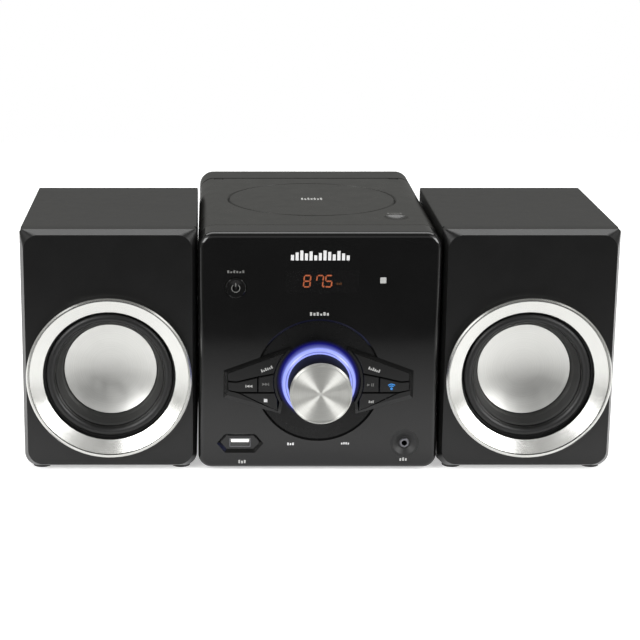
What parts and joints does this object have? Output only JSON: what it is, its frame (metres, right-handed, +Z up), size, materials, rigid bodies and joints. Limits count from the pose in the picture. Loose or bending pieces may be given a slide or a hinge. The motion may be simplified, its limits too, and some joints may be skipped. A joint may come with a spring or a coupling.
{
  "type": "mini hifi system",
  "caption": "Compact shelf stereo with a disc player under a hinged lid, a lit volume knob, and two separate box speakers.",
  "frame": {"origin": "on the table, at the middle of the whole set's footprint", "axes": "+X to the listener's right as they face the set, +Y from the front to the back, +Z up"},
  "size_m": [0.3768, 0.254, 0.158],
  "materials": {
    "gloss_black": "piano-gloss black moulding",
    "satin_black": "fine-textured black moulding",
    "control_black": "satin black control plate",
    "key_black": "semi-gloss black keys",
    "vinyl_black": "black vinyl-wrapped fibreboard",
    "silver_ring": "satin silver plated ring",
    "spun_silver": "spun aluminium face",
    "cap_silver": "satin silver dished cap",
    "rubber_black": "soft black rubber",
    "paper_black": "pressed black cone",
    "ring_light": "frosted light pipe, lit blue",
    "smoke_window": "dark smoked window",
    "metal_bright": "nickel plated",
    "steel_dark": "black painted steel",
    "steel_plain": "zinc plated steel",
    "ferrite": "dark ferrite magnet",
    "board_green": "solder-masked circuit board",
    "module_grey": "moulded display block",
    "tongue_white": "white moulding",
    "switch_black": "black switch bodies",
    "copper_iron": "lacquered core and winding"
  },
  "bodies": {
    "main_unit": {"front_bezel": "gloss_black", "control_plate": "control_black", "light_ring": "ring_light", "wing_frame_left": "key_black", "wing_frame_right": "key_black", "encoder": "steel_plain", "display_window": "smoke_window", "display_module": "module_grey", "key_switches": "switch_black", "front_board": "board_green", "usb_shell": "metal_bright", "usb_tongue": "tongue_white", "aux_bushing": "metal_bright", "aux_jack": "switch_black", "cabinet_shell": "satin_black", "rear_panel": "satin_black", "lid_hinge_pins": "steel_plain", "push_latch": "switch_black", "disc_tray": "satin_black", "cd_chassis": "module_grey", "sled_rods": "steel_plain", "spindle_motor": "steel_plain", "main_board": "board_green", "transformer": "copper_iron", "speaker_sockets": "metal_bright", "cord_glands": "rubber_black", "main_feet": "rubber_black"},
    "lid": {"lid": "satin_black"},
    "knob": {"volume_knob": "control_black", "knob_cap": "spun_silver", "encoder_shaft": "steel_plain"},
    "standby_button": {"standby_button": "gloss_black"},
    "key_memory": {"key_memory": "key_black"},
    "key_previous": {"key_previous": "key_black"},
    "key_next": {"key_next": "key_black"},
    "key_stop": {"key_stop": "key_black"},
    "key_source": {"key_source": "key_black"},
    "key_wireless": {"key_wireless": "key_black"},
    "key_play": {"key_play": "key_black"},
    "key_tone": {"key_tone": "key_black"},
    "turntable": {"turntable": "module_grey"},
    "laser_sled": {"laser_sled": "switch_black"},
    "speaker_left": {"speaker_cabinet_left": "vinyl_black", "speaker_baffle_left": "satin_black", "trim_ring_left": "silver_ring", "surround_left": "rubber_black", "driver_frame_left": "steel_dark", "driver_magnet_left": "ferrite", "speaker_feet_left": "rubber_black"},
    "cone_left": {"driver_cone_left": "paper_black", "dust_cap_left": "cap_silver"},
    "speaker_right": {"speaker_cabinet_right": "vinyl_black", "speaker_baffle_right": "satin_black", "trim_ring_right": "silver_ring", "surround_right": "rubber_black", "driver_frame_right": "steel_dark", "driver_magnet_right": "ferrite", "speaker_feet_right": "rubber_black"},
    "cone_right": {"driver_cone_right": "paper_black", "dust_cap_right": "cap_silver"}
  },
  "joints": [
    {"name": "lid_hinge", "type": "hinge", "parent": "main_unit", "child": "lid", "pos_m": [0, 0.088, 0.1545], "axis": [-1, 0, 0], "range_deg": [0, 65]},
    {"name": "volume_turn", "type": "hinge", "parent": "main_unit", "child": "knob", "pos_m": [0, -0.097, 0.0609], "axis": [0, 1, 0], "continuous": true},
    {"name": "disc_spin", "type": "hinge", "parent": "main_unit", "child": "turntable", "pos_m": [0, 0.0125, 0.133], "axis": [0, 0, 1], "continuous": true},
    {"name": "laser_feed", "type": "slide", "parent": "main_unit", "child": "laser_sled", "axis": [1, 0, 0], "range_m": [0, 0.032]},
    {"name": "standby_button_press", "type": "slide", "parent": "main_unit", "child": "standby_button", "axis": [0, 1, 0], "range_m": [0, 0.0008], "stiffness_N_per_m": 800, "springref_m": -0.0006},
    {"name": "key_memory_press", "type": "slide", "parent": "main_unit", "child": "key_memory", "axis": [0, 1, 0], "range_m": [0, 0.0008], "stiffness_N_per_m": 800, "springref_m": -0.0006},
    {"name": "key_previous_press", "type": "slide", "parent": "main_unit", "child": "key_previous", "axis": [0, 1, 0], "range_m": [0, 0.0008], "stiffness_N_per_m": 800, "springref_m": -0.0006},
    {"name": "key_next_press", "type": "slide", "parent": "main_unit", "child": "key_next", "axis": [0, 1, 0], "range_m": [0, 0.0008], "stiffness_N_per_m": 800, "springref_m": -0.0006},
    {"name": "key_stop_press", "type": "slide", "parent": "main_unit", "child": "key_stop", "axis": [0, 1, 0], "range_m": [0, 0.0008], "stiffness_N_per_m": 800, "springref_m": -0.0006},
    {"name": "key_source_press", "type": "slide", "parent": "main_unit", "child": "key_source", "axis": [0, 1, 0], "range_m": [0, 0.0008], "stiffness_N_per_m": 800, "springref_m": -0.0006},
    {"name": "key_wireless_press", "type": "slide", "parent": "main_unit", "child": "key_wireless", "axis": [0, 1, 0], "range_m": [0, 0.0008], "stiffness_N_per_m": 800, "springref_m": -0.0006},
    {"name": "key_play_press", "type": "slide", "parent": "main_unit", "child": "key_play", "axis": [0, 1, 0], "range_m": [0, 0.0008], "stiffness_N_per_m": 800, "springref_m": -0.0006},
    {"name": "key_tone_press", "type": "slide", "parent": "main_unit", "child": "key_tone", "axis": [0, 1, 0], "range_m": [0, 0.0008], "stiffness_N_per_m": 800, "springref_m": -0.0006},
    {"name": "speaker_left_place", "type": "slide", "parent": "main_unit", "child": "speaker_left", "axis": [-1, 0, 0], "range_m": [0, 0.3]},
    {"name": "cone_left_stroke", "type": "slide", "parent": "speaker_left", "child": "cone_left", "axis": [0, 1, 0], "range_m": [-0.0015, 0.0015], "stiffness_N_per_m": 900, "deforming": ["surround_left"]},
    {"name": "speaker_right_place", "type": "slide", "parent": "main_unit", "child": "speaker_right", "axis": [1, 0, 0], "range_m": [0, 0.3]},
    {"name": "cone_right_stroke", "type": "slide", "parent": "speaker_right", "child": "cone_right", "axis": [0, 1, 0], "range_m": [-0.0015, 0.0015], "stiffness_N_per_m": 900, "deforming": ["surround_right"]}
  ]
}
